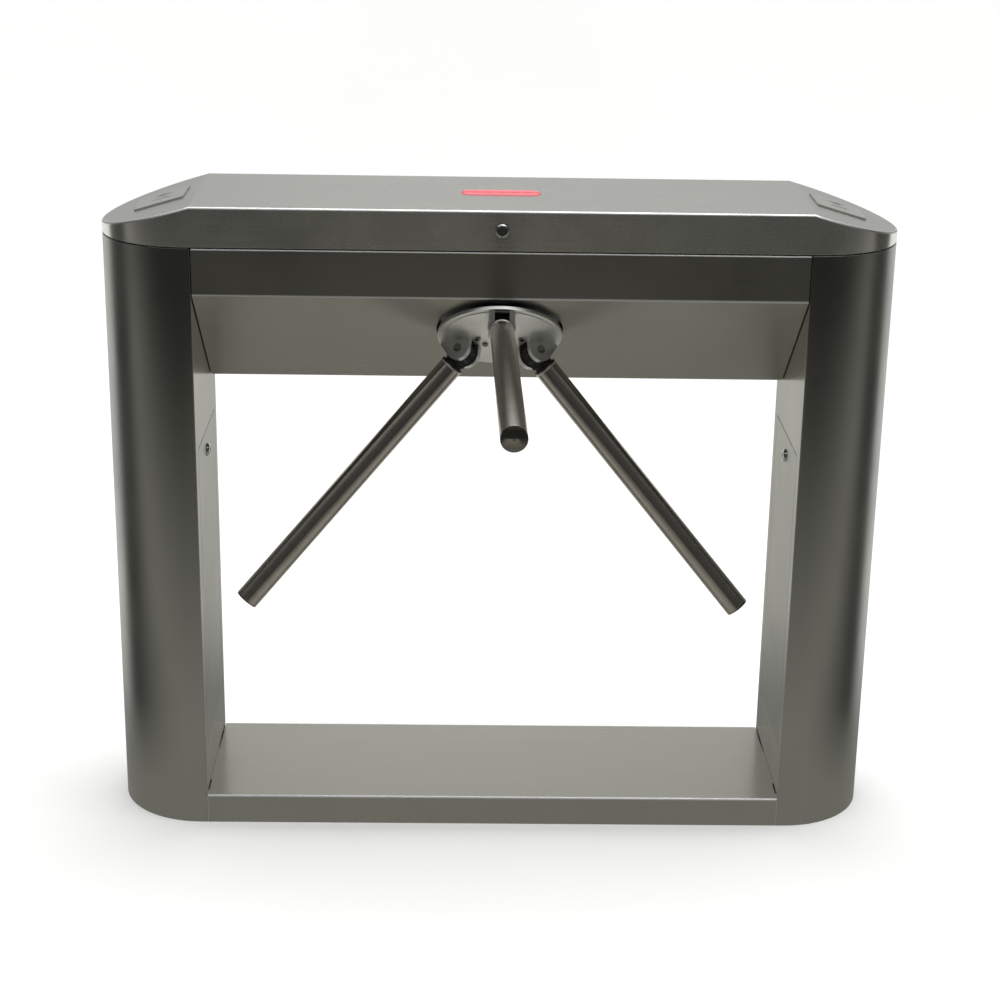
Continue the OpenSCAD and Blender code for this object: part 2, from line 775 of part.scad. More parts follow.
module lever_pin_holes(z) for (p = lever_pin_places())
    translate([p[0], p[1], z - 1]) cylinder(d = lever_pin_d + 2 * bore_play, h = plate_t + 2);

function lever_pin_places() = [
    [pawl_pin_x, pawl_pin_y], [-pawl_pin_x, pawl_pin_y], [lever_pin_x, lever_pin_y]
];

module bearing_plate() color("slategray") at_hub() mechanism_plate(plate_back);

module rear_plate() color("slategray") at_hub() mechanism_plate(rear_back);

module plate_pillars() {
    color("lightsteelblue") at_hub() for (i = [-1, 1], y = [-pillar_down, pillar_up])
        translate([i * pillar_x, y, 0]) {
        translate([0, 0, plate_front]) cylinder(r = pillar_r, h = -sheet - plate_front);
        translate([0, 0, rear_front]) cylinder(r = pillar_r, h = plate_back - rear_front);
    }
}

module shaft_bearings() {
    color("gainsboro") at_hub() for (z = [plate_front, rear_front])
        translate([0, 0, z - bearing_w - 1]) difference() {
        cylinder(d = bearing_d - 2 * bore_play, h = bearing_w);
        translate([0, 0, -1]) cylinder(d = shaft_d + 2 * bore_play, h = bearing_w + 2);
        for (e = [-1, bearing_w - 1]) translate([0, 0, e]) difference() {
            cylinder(d = bearing_d - 12, h = 2);
            translate([0, 0, -1]) cylinder(d = shaft_d + 10, h = 4);
        }
    }
}

module lever_pins() {
    color("silver") at_hub() for (p = lever_pin_places())
        translate([p[0], p[1], rear_back + 1]) cylinder(d = lever_pin_d, h = plate_front - rear_back - 2);
}

// Index wheel: three round notches for the roller, six square ones for the pawls
module index_wheel() {
    color([0.65, 0.6, 0.45]) at_hub() translate([0, 0, wheel_back]) difference() {
        union() {
            cylinder(r = wheel_r, h = wheel_t);
            translate([0, 0, -4]) cylinder(d = shaft_d + 20, h = wheel_t + 8);
        }
        translate([0, 0, -5]) cylinder(d = shaft_d + 2 * bore_play, h = wheel_t + 10);
        for (a = [0 : 2]) rotate([0, 0, 120 * a]) {
            translate([0, roller_y + 7, -1]) cylinder(r = roller_r + 1, h = wheel_t + 2);
            for (s = [-1, 1]) translate([s * wheel_r, 0, wheel_t / 2])
                cube([2 * notch_depth, notch_w, wheel_t + 2], center = true);
        }
    }
}

module encoder_disc() {
    color([0.2, 0.2, 0.2]) at_hub() translate([0, 0, disc_front - disc_t]) difference() {
        union() {
            cylinder(r = disc_r, h = disc_t);
            cylinder(d = shaft_d + 8, h = disc_t + 5);
        }
        translate([0, 0, -1]) cylinder(d = shaft_d + 2 * bore_play, h = disc_t + 8);
        for (a = [0 : 11]) rotate([0, 0, 30 * a]) translate([disc_r - 8, -2, -1]) cube([6, 4, disc_t + 2]);
    }
}

// Board with two slotted light gates that straddle the encoder disc
module sensor_board() {
    board_y = bearing_boss_r + 2;
    gate_w = 8;
    gate_in = disc_r - 4;
    gate_out = disc_r + 1.5;
    color([0.1, 0.35, 0.2]) at_hub() {
        translate([-30, board_y, disc_front - 10]) cube([60, 1.6, rear_back - disc_front + 10]);
        for (s = [-1, 1]) translate([s * 16 - gate_w / 2, 0, disc_front]) {
            translate([0, gate_in, 1]) cube([gate_w, gate_out - gate_in + 1, 3]);
            translate([0, gate_in, -disc_t - 4]) cube([gate_w, gate_out - gate_in + 1, 3]);
            translate([0, gate_out, -disc_t - 4]) cube([gate_w, board_y - gate_out, disc_t + 8]);
        }
    }
}

module pawl(side) {
    tooth_tip = wheel_r + tooth_clear;
    color([0.75, 0.55, 0.25]) at_hub() scale([side, 1, 1])
        translate([0, 0, lever_front - lever_t]) difference() {
        union() {
            link([pawl_pin_x, pawl_pin_y], [pawl_pin_x, pawl_pin_y + pawl_top], pawl_w, lever_t);
            translate([tooth_tip, -tooth_w / 2, 0]) cube([pawl_pin_x - tooth_tip, tooth_w, lever_t]);
        }
        translate([pawl_pin_x, pawl_pin_y, -1]) cylinder(d = lever_pin_d + 2 * bore_play, h = lever_t + 2);
    }
}

module plunger(side) {
    color("silver") at_hub() scale([side, 1, 1]) translate([plunger_x, push_y, lever_front - lever_t / 2]) {
        rod_x(6, 6);
        translate([4, 0, 0]) rod_x(plunger_d + 3, 3);
        translate([4, 0, 0]) rod_x(plunger_d, plunger_l - 4);
    }
}

module solenoids() {
    color([0.2, 0.2, 0.22]) at_hub() for (s = [-1, 1]) scale([s, 1, 1])
        translate([solenoid_x, push_y, lever_front - lever_t / 2]) difference() {
            union() {
                translate([0, -solenoid_w / 2, -solenoid_w / 2]) cube([solenoid_l, solenoid_w, solenoid_w]);
                translate([0, -solenoid_w / 2, 0])
                    cube([solenoid_l, solenoid_w, plate_back - lever_front + lever_t / 2]);
            }
            translate([-1, 0, 0]) rod_x(plunger_d + 2 * bore_play, solenoid_l + 2);
        }
}

// Lever behind the index wheel, with the roller that rides round the wheel and into its notches
module centring_lever() {
    color([0.75, 0.55, 0.25]) at_hub() translate([0, 0, lever_back]) difference() {
        union() {
            link([lever_pin_x, lever_pin_y], [lever_end_x, lever_pin_y], lever_w, lever_bar_t);
            translate([0, roller_y, 0]) cylinder(r = roller_r, h = lever_bar_t + wheel_t);
            translate([lever_pin_x, lever_pin_y, 0]) cylinder(d = lever_w, h = lever_t);
        }
        translate([lever_pin_x, lever_pin_y, -1])
            cylinder(d = lever_pin_d + 2 * bore_play, h = lever_t + 2);
    }
}

// Coil of round wire standing on Z = 0
module coil(r, wire, turns, h) {
    sides = 8;
    steps = 20 * turns;
    points = [for (i = [0 : steps], k = [0 : sides - 1]) let (
        a = 360 * turns * i / steps,
        b = 360 * k / sides,
        reach = r + wire / 2 * cos(b)
    ) [reach * cos(a), reach * sin(a), wire / 2 * (1 + sin(b)) + (h - wire) * i / steps]];
    skin = [for (i = [0 : steps - 1], k = [0 : sides - 1]) let (
        here = i * sides,
        next = here + sides,
        m = (k + 1) % sides
    ) each [[here + k, here + m, next + m], [here + k, next + m, next + k]]];
    caps = [[for (k = [sides - 1 : -1 : 0]) k], [for (k = [0 : sides - 1]) steps * sides + k]];
    polyhedron(points, concat(skin, caps));
}

// Compression spring that pushes the lever towards the wheel, standing on its bracket
module centring_spring() {
    coil_r = 6.5;
    ledge_t = 4;
    top = lever_pin_y - lever_w / 2 - play;
    foot = -plate_down + 2;
    z = lever_back + lever_bar_t / 2;
    color("lightgray") at_hub() translate([lever_end_x, foot, z]) {
        translate([0, ledge_t + play, 0])
            rotate([-90, 0, 0]) coil(coil_r, 2, 6, top - foot - ledge_t - 2 * play);
        translate([-coil_r - 3, 0, -coil_r - 3])
            cube([2 * coil_r + 6, ledge_t, plate_back - z + coil_r + 3]);
    }
}

// Buffer that stops the lever at the end of its swing, held by a bracket on the bearing plate
module shock_damper() {
    x = -20;
    foot = -plate_down + 2;
    travel = 5.5;
    top = lever_pin_y - lever_w / 2 - travel - play;
    body_l = 22;
    z = lever_back + lever_bar_t / 2;
    color([0.15, 0.15, 0.18]) at_hub() translate([x, foot, z]) {
        rod_y(16, body_l);
        rod_y(5, top - foot);
        translate([-8, 4, 0]) cube([16, 12, plate_back - z]);
    }
}

// ---------- electrics ----------

module board_posts(x, w, z, h, gap) for (i = [0, 1], j = [0, 1])
    translate([x + 8 + i * (w - 16), back_y - sheet - gap, z + 8 + j * (h - 16)]) rod_y(7, gap);

module control_board() {
    x = 190;
    w = 180;
    h = 110;
    z = beam_z + 40;
    gap = 10;
    front = back_y - sheet - gap - 1.6;
    color([0.1, 0.35, 0.2]) {
        translate([x, front, z]) cube([w, 1.6, h]);
        board_posts(x, w, z, h, gap);
        translate([x + 60, front - 4, z + 40]) cube([30, 4, 30]);
        for (k = [0 : 3]) translate([x + 14 + 40 * k, front - 12, z + h - 16]) cube([32, 12, 12]);
        for (k = [0 : 2]) translate([x + 115 + 18 * k, front - 18, z + 22]) rod_y(12, 18);
    }
}

module power_supply() {
    w = 160;
    h = 98;
    t = 42;
    x = -190 - w;
    z = beam_z + 46;
    gap = 3;
    color([0.7, 0.7, 0.68]) {
        translate([x, back_y - sheet - gap - t, z]) difference() {
            cube([w, t, h]);
            for (k = [0 : 9]) translate([20 + 10 * k, -1, 20]) cube([4, 3, h - 40]);
            translate([w - 16, -1, 6]) cube([17, 12, h - 12]);
        }
        board_posts(x, w, z, h, gap);
    }
}

color([0.5, 0.5, 0.46]) column(-1);  // left_column
color([0.5, 0.5, 0.46]) column(1);  // right_column
color("gray") foot(-1);  // left_foot
color("gray") foot(1);  // right_foot
base_plinth();
plinth_ribs();
beam_cowl();
rear_cover();
chassis_rails();
lid_seal();
cable_grommet();
bearing_plate();
rear_plate();
plate_pillars();
shaft_bearings();
lever_pins();
solenoids();
shock_damper();
centring_spring();
sensor_board();
control_board();
power_supply();
lid_catch();
lid_hinge_brackets();
lid_hinge_pins();
lid();
lid_hinge_knuckles();
window(-1);  // left_window
window(1);  // right_window
reader_boards();
indicator_lens();
indicator_board();
lid_lock_body();
lid_lock_plug();
door(-1);  // left_door
door_lock_body(-1);  // left_door_lock_body
door_lock_plug(-1);  // left_door_lock_plug
door(1);  // right_door
door_lock_body(1);  // right_door_lock_body
door_lock_plug(1);  // right_door_lock_plug
hub_plate();
hub_screws();
main_shaft();
index_wheel();
encoder_disc();
arm_pins();
arm_knuckle(0);  // arm_1_knuckle
arm_tube(0);  // arm_1_tube
arm_cap(0);  // arm_1_cap
arm_knuckle(1);  // arm_2_knuckle
arm_tube(1);  // arm_2_tube
arm_cap(1);  // arm_2_cap
arm_knuckle(2);  // arm_3_knuckle
arm_tube(2);  // arm_3_tube
arm_cap(2);  // arm_3_cap
pawl(-1);  // left_pawl
pawl(1);  // right_pawl
plunger(-1);  // left_plunger
plunger(1);  // right_plunger
centring_lever();
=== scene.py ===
"""Bridge turnstile with three drop arms in brushed stainless steel, on a pale studio floor."""

from math import atan2, cos, hypot, pi, radians, sin

import bmesh
import bpy
from mathutils import Matrix, Vector


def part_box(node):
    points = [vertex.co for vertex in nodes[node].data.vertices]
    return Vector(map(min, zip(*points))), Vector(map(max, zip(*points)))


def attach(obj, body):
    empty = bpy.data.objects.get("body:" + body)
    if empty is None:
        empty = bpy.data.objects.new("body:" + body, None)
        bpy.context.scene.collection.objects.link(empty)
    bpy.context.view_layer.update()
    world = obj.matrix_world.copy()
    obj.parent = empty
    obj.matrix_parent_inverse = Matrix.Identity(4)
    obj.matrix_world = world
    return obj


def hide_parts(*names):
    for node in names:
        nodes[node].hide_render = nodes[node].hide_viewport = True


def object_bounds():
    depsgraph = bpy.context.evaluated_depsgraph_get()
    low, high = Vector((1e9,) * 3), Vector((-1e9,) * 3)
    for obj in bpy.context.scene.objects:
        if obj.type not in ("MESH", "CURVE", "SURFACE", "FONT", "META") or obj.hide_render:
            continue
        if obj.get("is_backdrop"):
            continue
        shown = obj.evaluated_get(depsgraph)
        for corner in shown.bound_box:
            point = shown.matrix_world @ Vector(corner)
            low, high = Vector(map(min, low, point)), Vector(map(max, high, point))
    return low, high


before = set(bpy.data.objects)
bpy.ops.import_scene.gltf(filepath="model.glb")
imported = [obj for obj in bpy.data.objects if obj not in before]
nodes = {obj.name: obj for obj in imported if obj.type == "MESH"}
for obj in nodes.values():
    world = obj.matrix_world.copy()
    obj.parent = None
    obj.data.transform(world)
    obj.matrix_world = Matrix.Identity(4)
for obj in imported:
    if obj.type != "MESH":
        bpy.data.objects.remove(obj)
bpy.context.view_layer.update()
MM = 0.001


# ---------- small tools ----------


def hex_colour(code):
    """Linear colour of an sRGB hex value such as "8c8c84"."""
    parts = [int(code[i : i + 2], 16) / 255 for i in (0, 2, 4)]
    return tuple(p / 12.92 if p <= 0.04045 else ((p + 0.055) / 1.055) ** 2.4 for p in parts) + (1.0,)


def add(tree, kind, inputs=None, **settings):
    """Adds a node with its settings; each input is a value, or the output socket it is linked to."""
    node = tree.nodes.new(kind)
    for name, value in settings.items():
        setattr(node, name, value)
    for key, value in (inputs or {}).items():
        if isinstance(value, bpy.types.NodeSocket):
            tree.links.new(value, node.inputs[key])
        else:
            node.inputs[key].default_value = value
    return node


def new_material(name):
    """An empty node material with its Principled shader."""
    material = bpy.data.materials.new(name)
    material.use_nodes = True
    tree = material.node_tree
    tree.nodes.clear()
    shader = add(tree, "ShaderNodeBsdfPrincipled")
    add(tree, "ShaderNodeOutputMaterial", {"Surface": shader.outputs[0]})
    return material, tree, shader


def finished(name, bm, materials, body, *replaced, slot=None, smooth=35, weighted=True):
    """Makes the bmesh a piece that rides on a body; faces pick from the materials by index."""
    mesh = bpy.data.meshes.new(name)
    bm.normal_update()
    bm.to_mesh(mesh)
    bm.free()
    for material in materials if isinstance(materials, tuple) else (materials,):
        mesh.materials.append(material)
    mesh.shade_smooth()
    mesh.set_sharp_from_angle(angle=radians(smooth))
    piece = bpy.data.objects.new(name, mesh)
    bpy.context.scene.collection.objects.link(piece)
    if weighted:
        flat = piece.modifiers.new("even normals", "WEIGHTED_NORMAL")
        flat.keep_sharp = True
        flat.weight = 100
    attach(piece, body)
    if replaced:
        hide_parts(*replaced)
    return piece


# ---------- materials ----------


def brushed_steel(name, shade, grain, rough=0.3, streak=0.014, cloud=0.03):
    """Stainless steel brushed with an abrasive belt along one direction: highlights smear across
    the grain, and fine lines run along it. The real lines are 0.1 mm wide, too fine to show, so
    they are drawn about 1 mm wide and 0.3 m long."""
    material, tree, shader = new_material(name)
    place = add(tree, "ShaderNodeTexCoord").outputs["Object"]
    along, wide = 1 / (300 * MM), 1 / (0.96 * MM)
    lines = add(
        tree,
        "ShaderNodeMapping",
        {"Vector": place, "Scale": [along if g else wide for g in grain]},
    )
    fine = add(
        tree,
        "ShaderNodeTexNoise",
        {"Vector": lines.outputs[0], "Scale": 1.0, "Detail": 2.0, "Roughness": 0.5},
    )
    # wide bands left by the belt, about 20 mm across and over a metre long
    belts = add(
        tree,
        "ShaderNodeMapping",
        {"Vector": place, "Scale": [0.8 if g else 45.0 for g in grain], "Location": (0.3, 0.7, 0.1)},
    )
    band = add(tree, "ShaderNodeTexNoise", {"Vector": belts.outputs[0], "Scale": 1.0, "Detail": 1.0})
    # handling marks and thin oil film, 0.15 m across
    film = add(
        tree, "ShaderNodeTexNoise", {"Vector": place, "Scale": 7.0, "Detail": 4.0, "Roughness": 0.65}
    )
    tone = hex_colour(shade)
    light = add(
        tree,
        "ShaderNodeMapRange",
        {"Value": fine.outputs["Fac"], 1: 0.3, 2: 0.7, 3: 1 - streak, 4: 1 + streak},
    )
    wave = add(
        tree,
        "ShaderNodeMapRange",
        {"Value": band.outputs["Fac"], 1: 0.3, 2: 0.7, 3: 1 - streak * 0.6, 4: 1 + streak * 0.6},
    )
    level = add(
        tree, "ShaderNodeMath", {0: light.outputs[0], 1: wave.outputs[0]}, operation="MULTIPLY"
    )
    colour = add(
        tree, "ShaderNodeVectorMath", {0: tone[:3], "Scale": level.outputs[0]}, operation="SCALE"
    )
    marks = add(
        tree,
        "ShaderNodeMapRange",
        {"Value": film.outputs["Fac"], 1: 0.3, 2: 0.7, 3: rough - cloud, 4: rough + cloud},
    )
    gloss = add(
        tree,
        "ShaderNodeMapRange",
        {"Value": fine.outputs["Fac"], 1: 0.3, 2: 0.7, 3: -0.008, 4: 0.008},
    )
    roughness = add(
        tree, "ShaderNodeMath", {0: marks.outputs[0], 1: gloss.outputs[0]}, operation="ADD"
    )
    line = add(tree, "ShaderNodeCombineXYZ", {i: float(g) for i, g in enumerate(grain)})
    turned = add(
        tree,
        "ShaderNodeVectorTransform",
        {"Vector": line.outputs[0]},
        vector_type="VECTOR",
        convert_from="OBJECT",
        convert_to="WORLD",
    )
    shader.inputs["Metallic"].default_value = 1.0
    shader.inputs["Anisotropic"].default_value = 0.75
    shader.inputs["Anisotropic Rotation"].default_value = 0.25
    tree.links.new(colour.outputs[0], shader.inputs["Base Color"])
    tree.links.new(roughness.outputs[0], shader.inputs["Roughness"])
    tree.links.new(turned.outputs[0], shader.inputs["Tangent"])
    return material


def worn_surface(name, shade, second, rough, metal, grain_mm, spread=0.4, bump=0.03, coat=0.0):
    """Painted, plated, cast or moulded finish: two close tones, and a gloss that is uneven at a
    given grain."""
    material, tree, shader = new_material(name)
    place = add(tree, "ShaderNodeTexCoord").outputs["Object"]
    speck = add(
        tree,
        "ShaderNodeTexNoise",
        {"Vector": place, "Scale": 1 / (grain_mm * MM), "Detail": 3.0, "Roughness": 0.6},
    )
    cloud = add(
        tree, "ShaderNodeTexNoise", {"Vector": place, "Scale": 30.0, "Detail": 3.0, "Roughness": 0.6}
    )
    share = add(
        tree,
        "ShaderNodeMapRange",
        {"Value": cloud.outputs["Fac"], 1: 0.35, 2: 0.65},
    )
    colour = add(
        tree,
        "ShaderNodeMix",
        {0: share.outputs[0], 6: hex_colour(shade), 7: hex_colour(second)},
        data_type="RGBA",
    )
    smoothest, roughest = rough * (1 - spread), rough * (1 + spread)
    gloss = add(
        tree,
        "ShaderNodeMapRange",
        {"Value": speck.outputs["Fac"], 1: 0.3, 2: 0.7, 3: smoothest, 4: roughest},
    )
    skin = add(
        tree,
        "ShaderNodeBump",
        {"Height": speck.outputs["Fac"], "Strength": 0.4, "Distance": bump * MM},
    )
    shader.inputs["Metallic"].default_value = metal
    shader.inputs["Coat Weight"].default_value = coat
    tree.links.new(colour.outputs[2], shader.inputs["Base Color"])
    tree.links.new(gloss.outputs[0], shader.inputs["Roughness"])
    tree.links.new(skin.outputs[0], shader.inputs["Normal"])
    return material


LENGTHWISE, UPRIGHT = (1, 0, 0), (0, 0, 1)
# brushed sheet: the panels differ a little in tone; the lid's upright faces take a much lighter copy
# of the lid steel, painted light for their brighter reflection
steel_lid = brushed_steel(
    "brushed stainless, lid", "b0b0aa", LENGTHWISE, rough=0.27, streak=0.012, cloud=0.02
)
steel_lid_upright_painted_lighter = brushed_steel("brushed stainless, lid upright, painted lighter", "e9e8df", LENGTHWISE, rough=0.27)
# bends get a much lighter, rougher copy of the steel: a painted highlight along each fold
steel_bend_painted_highlight = brushed_steel("stainless bends, painted highlight", "ececea", LENGTHWISE, rough=0.42)
steel_beam = brushed_steel("brushed stainless, beam", "a3a198", LENGTHWISE, rough=0.3)
steel_plinth = brushed_steel("brushed stainless, plinth", "b0afa6", LENGTHWISE, rough=0.28)
steel_column = brushed_steel("brushed stainless, column", "abaaa3", UPRIGHT, rough=0.24)
steel_door = brushed_steel("brushed stainless, door", "b4b4ae", UPRIGHT, rough=0.3)
# machined, turned and plated metal: the finer the finish, the lower the roughness
steel_hub = worn_surface(
    "bead blasted stainless, hub", "efefeb", "e6e6e2", 0.42, 1.0, 0.6, spread=0.15
)
steel_tube = worn_surface(
    "polished stainless tube", "cdc8be", "c0bbb1", 0.22, 1.0, 2.0, spread=0.12, bump=0.001
)
steel_cap = worn_surface("polished stainless cap", "b4b2aa", "a9a79f", 0.08, 1.0, 1.0, bump=0.002)
black_oxide = worn_surface("black oxide casting", "1b1b1a", "262523", 0.38, 0.6, 0.8, bump=0.05)
chrome = worn_surface("chrome plated zinc", "cfcfcd", "c4c4c2", 0.07, 1.0, 1.0, bump=0.002)
# moulded and printed pieces: an even, softer gloss without metal
smoked_acrylic = worn_surface("smoked acrylic", "84857e", "797a74", 0.35, 0.0, 1.5, bump=0.004)
print_ink = worn_surface("screen printed ink", "4c4d48", "42433f", 0.5, 0.0, 0.5)
rubber = worn_surface("moulded rubber", "131312", "1b1b1a", 0.6, 0.0, 0.5)
# inside the cabinet
zinc = worn_surface("zinc plated steel", "8f9296", "82858c", 0.35, 1.0, 6.0)
aluminium = worn_surface("milled aluminium plate", "a4a6a8", "979a9c", 0.34, 1.0, 1.2)
bearing = worn_surface("ground bearing steel", "b3b4b5", "a4a5a8", 0.16, 1.0, 0.8)
brass = worn_surface("yellow passivated zinc", "a48f4a", "8f8a55", 0.3, 1.0, 3.0)
coil = worn_surface("black lacquered steel", "1d1d20", "26262a", 0.3, 0.3, 1.0, coat=0.3)
board = worn_surface("circuit board lacquer", "0f4a2a", "136033", 0.3, 0.0, 2.0, coat=0.5)


def led_lens(name):
    """Red diffusing lens over a row of LEDs 10 mm apart: a deep red core down the middle, deepest
    over the LEDs, with a pale pink glow at the rim."""
    material, tree, shader = new_material(name)
    place = add(tree, "ShaderNodeTexCoord").outputs["Object"]
    axis = add(tree, "ShaderNodeSeparateXYZ", {0: place})
    repeat = add(tree, "ShaderNodeMath", {0: axis.outputs[0], 1: 10 * MM}, operation="PINGPONG")
    across = add(tree, "ShaderNodeMath", {0: axis.outputs[1]}, operation="ABSOLUTE")
    core = add(
        tree,
        "ShaderNodeMapRange",
        {"Value": across.outputs[0], 1: 0.001, 2: 0.011, 3: 1.0, 4: 0.0},
        interpolation_type="SMOOTHSTEP",
    )
    point = add(
        tree,
        "ShaderNodeMapRange",
        {"Value": repeat.outputs[0], 1: 0.002, 2: 0.009, 3: 1.0, 4: 0.7},
        interpolation_type="SMOOTHSTEP",
    )
    glow = add(tree, "ShaderNodeMath", {0: core.outputs[0], 1: point.outputs[0]}, operation="MULTIPLY")
    colour = add(
        tree,
        "ShaderNodeMix",
        {0: glow.outputs[0], 6: hex_colour("f58a94"), 7: hex_colour("d02030")},
        data_type="RGBA",
    )
    power = add(tree, "ShaderNodeMapRange", {"Value": glow.outputs[0], 3: 0.72, 4: 0.6})
    shader.inputs["Base Color"].default_value = hex_colour("901420")
    shader.inputs["Roughness"].default_value = 0.35
    tree.links.new(colour.outputs[2], shader.inputs["Emission Color"])
    tree.links.new(power.outputs[0], shader.inputs["Emission Strength"])
    return material


red_lens = led_lens("lit red acrylic")

slot_finish = {
    "column_steel": steel_column,
    "panel_steel": steel_beam,
    "door_steel": steel_door,
    "hub_steel": steel_hub,
    "arm_steel": steel_tube,
    "cap_steel": steel_cap,
    "knuckle_black": black_oxide,
    "lock_chrome": chrome,
    "window_acrylic": smoked_acrylic,
    "indicator_red": red_lens,
    "circuit_green": board,
    "seal_rubber": rubber,
    "zinc_steel": zinc,
    "plate_steel": aluminium,
    "bearing_steel": bearing,
    "brass_zinc": brass,
    "coil_black": coil,
}
for node in nodes.values():
    for place in node.material_slots:
        place.material = slot_finish[place.material.name]


# ---------- folded and machined pieces ----------

# Sizes that the CAD source sets and the frame does not give
strip_height = 70 * MM  # upright strip at the top of the beam
panel_set_back = 60 * MM  # from the rear face to the lower edge of the inclined panel
hub_drop = 102 * MM  # from the strip's lower edge to the hub's centre, along the panel
lid_fall = 43 * MM  # how far each end of the lid slopes down
window_shift = 33 * MM  # how far the window's middle is moved in, times two
pin_radius, pin_height = 62 * MM, 24 * MM  # arm pivots in the hub's frame
arm_lean, rest_turn = 48, 1.3  # degrees from the hub's axis, and of the rotor at rest
lock_face = 9 * MM  # radius inside which a lock's face stays sharp

# Sizes of the cabinet, from the frame
lid_low, lid_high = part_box("lid")
half_length, half_depth, top_z = lid_high.x, lid_high.y, lid_high.z
inner_x = -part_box("left_column")[1].x
body_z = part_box("left_column")[1].z
beam_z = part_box("rear_cover")[0].z
strip_z = body_z - strip_height
panel_y = half_depth - panel_set_back
plinth_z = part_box("base_plinth")[1].z
bend = 3 * MM  # radius of a folded edge
long_edge = 0.5  # an edge that runs along the whole cabinet is longer than this


def merged(node):
    """The node's shape as one welded bmesh with whole flat faces."""
    bm = bmesh.new()
    bm.from_mesh(nodes[node].data)
    bmesh.ops.remove_doubles(bm, verts=bm.verts, dist=0.00001)
    bmesh.ops.dissolve_limit(
        bm, angle_limit=radians(0.5), use_dissolve_boundaries=False, verts=bm.verts, edges=bm.edges
    )
    return bm


def soften(bm, radius, chosen=None, least=30, segments=4, clamp=True, finish=None):
    """Rounds the outward edges that are sharper than an angle and that `chosen` accepts, and gives
    the rounding its own material index."""
    picked = []
    for edge in bm.edges:
        if len(edge.link_faces) != 2 or not edge.is_convex:
            continue
        if edge.calc_face_angle(0) < radians(least):
            continue
        if chosen is None or chosen((edge.verts[0].co + edge.verts[1].co) / 2, edge):
            picked.append(edge)
    rounded = bmesh.ops.bevel(
        bm,
        geom=picked,
        offset=radius,
        offset_type="OFFSET",
        affect="EDGES",
        segments=segments,
        profile=0.5,
        material=-1,
        clamp_overlap=clamp,
        loop_slide=True,
    )
    if finish is not None:
        for face in rounded["faces"]:
            face.material_index = finish
    return bm


def near(a, b, reach=0.3 * MM):
    """True where two measures are the same but for rounding."""
    return abs(a - b) < reach


def on_outline(p):
    """True where a point lies on the cabinet's outline in plan."""
    straight = half_length - half_depth
    if abs(p.x) < straight:
        return near(abs(p.y), half_depth)
    return near(((abs(p.x) - straight) ** 2 + p.y**2) ** 0.5, half_depth, 0.6 * MM)


# lid: its upper rim is a bend, except round the lock's hole; the rounding wears the painted highlight
# steel
bm = merged("lid")
soften(
    bm,
    bend,
    lambda p, e: p.z > lid_low.z + 9 * MM
    and not (abs(p.x) < 30 * MM and p.z < top_z - 5 * MM)
    and on_outline(p),
    least=8,
    clamp=False,
    finish=2,
)
bm.normal_update()
# painted light: upright lid faces take the much lighter copy of the lid steel, standing for their
# brighter reflection
for face in bm.faces:
    if face.material_index == 0 and abs(face.normal.z) < 0.5:
        face.material_index = 1
soften(bm, 0.5 * MM, lambda p, e: near(p.z, lid_low.z) and on_outline(p), least=50, segments=2)
lid_steels = (steel_lid, steel_lid_upright_painted_lighter, steel_bend_painted_highlight)
finished("lid_shell", bm, lid_steels, "lid_panel", "lid", slot="panel_steel")

for side in ("left", "right"):
    bm = merged(side + "_column")
    soften(
        bm,
        2 * MM,
        lambda p, e: near(abs(p.x), inner_x)
        and near(abs(p.y), half_depth)
        and near(e.verts[0].co.x, e.verts[1].co.x)
        and near(e.verts[0].co.y, e.verts[1].co.y),
        least=50,
    )
    soften(bm, 1.0 * MM, lambda p, e: near(p.z, body_z) and on_outline(p), least=50, segments=3)
    name = side + "_column"
    finished(name + "_shell", bm, steel_column, "cabinet", name, slot="column_steel")
    bm = merged(side + "_door")
    soften(bm, 0.3 * MM, lambda p, e: near(abs(p.x), inner_x), least=50, segments=2)
    name = side + "_door"
    finished(name + "_skin", bm, steel_door, name + "_panel", name, slot="door_steel")

bends = [(-half_depth, body_z), (-half_depth, strip_z), (panel_y, beam_z)]
# the rounded bends wear the painted highlight steel
bm = merged("beam_cowl")
soften(
    bm,
    bend * 0.8,
    lambda p, e: any(near(p.y, y, 0.6 * MM) and near(p.z, z, 0.6 * MM) for y, z in bends)
    and e.calc_length() > long_edge,
    least=20,
    clamp=False,
    finish=1,
)
beam_steels = (steel_beam, steel_bend_painted_highlight)
finished("beam_front", bm, beam_steels, "cabinet", "beam_cowl", slot="panel_steel")

# the rounded front edges wear the painted highlight steel
bm = merged("base_plinth")
soften(
    bm,
    bend,
    lambda p, e: near(p.z, plinth_z) and near(abs(p.y), half_depth) and e.calc_length() > long_edge,
    least=50,
    finish=1,
)
plinth_steels = (steel_plinth, steel_bend_painted_highlight)
finished("plinth_tread", bm, plinth_steels, "cabinet", "base_plinth", slot="panel_steel")

bm = merged("rear_cover")
soften(bm, bend * 0.5, lambda p, e: e.calc_length() > long_edge and near(p.y, half_depth), least=50)
finished("rear_panel", bm, steel_beam, "cabinet", "rear_cover", slot="panel_steel")

bm = merged("hub_plate")
soften(bm, 0.9 * MM, least=40, segments=3)
finished("hub_and_forks", bm, steel_hub, "rotor", "hub_plate", slot="hub_steel")

